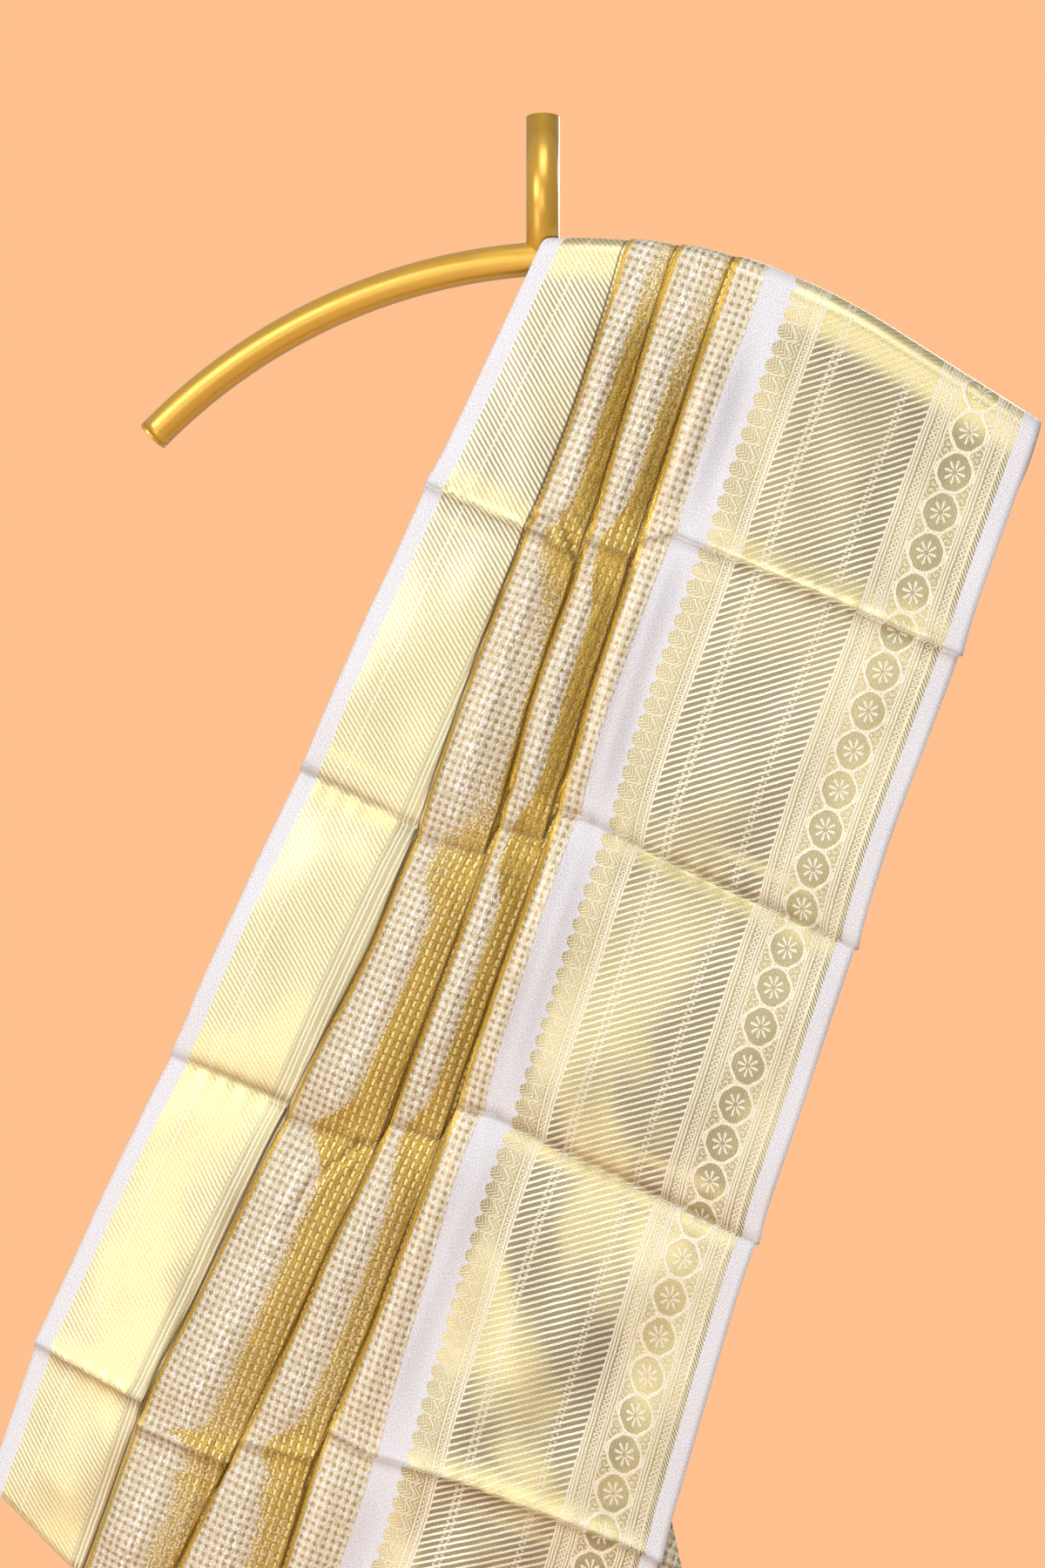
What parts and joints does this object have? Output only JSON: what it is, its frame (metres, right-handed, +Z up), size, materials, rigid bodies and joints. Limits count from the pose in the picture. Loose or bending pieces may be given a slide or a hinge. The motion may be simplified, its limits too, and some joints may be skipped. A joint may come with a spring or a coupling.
{
  "type": "tissue saree on a curved tube hanger",
  "caption": "Pleated tissue saree with two woven borders, doubled and hung over one arm of a curved tube hanger with an upright stem.",
  "frame": {"origin": "middle of the stem's top end, where the hanger is held", "axes": "+Z up along the stem, +X along the arm that carries the saree, the pictured side towards -Y"},
  "size_m": [1.1776, 0.0879, 1.8491],
  "materials": {
    "gold_paint": "satin gold coating on a steel tube",
    "tissue": "zari and silk tissue, woven check and borders, metallic sheen",
    "tissue_inner": "zari and silk tissue, plain check, in the shade"
  },
  "bodies": {
    "root": {"hanger_arch": "gold_paint", "hanger_stem": "gold_paint", "hanger_cap_left": "gold_paint", "hanger_cap_right": "gold_paint", "narrow_border_front": "tissue", "narrow_border_over": "tissue", "narrow_border_back": "tissue", "pleat_1_front": "tissue", "pleat_1_over": "tissue", "pleat_1_back": "tissue", "pleat_2_front": "tissue", "pleat_2_over": "tissue", "pleat_2_back": "tissue", "broad_panel_front": "tissue", "broad_panel_over": "tissue", "broad_panel_back": "tissue", "inner_layer_front": "tissue_inner", "inner_layer_over": "tissue_inner", "inner_layer_back": "tissue_inner"}
  },
  "joints": []
}
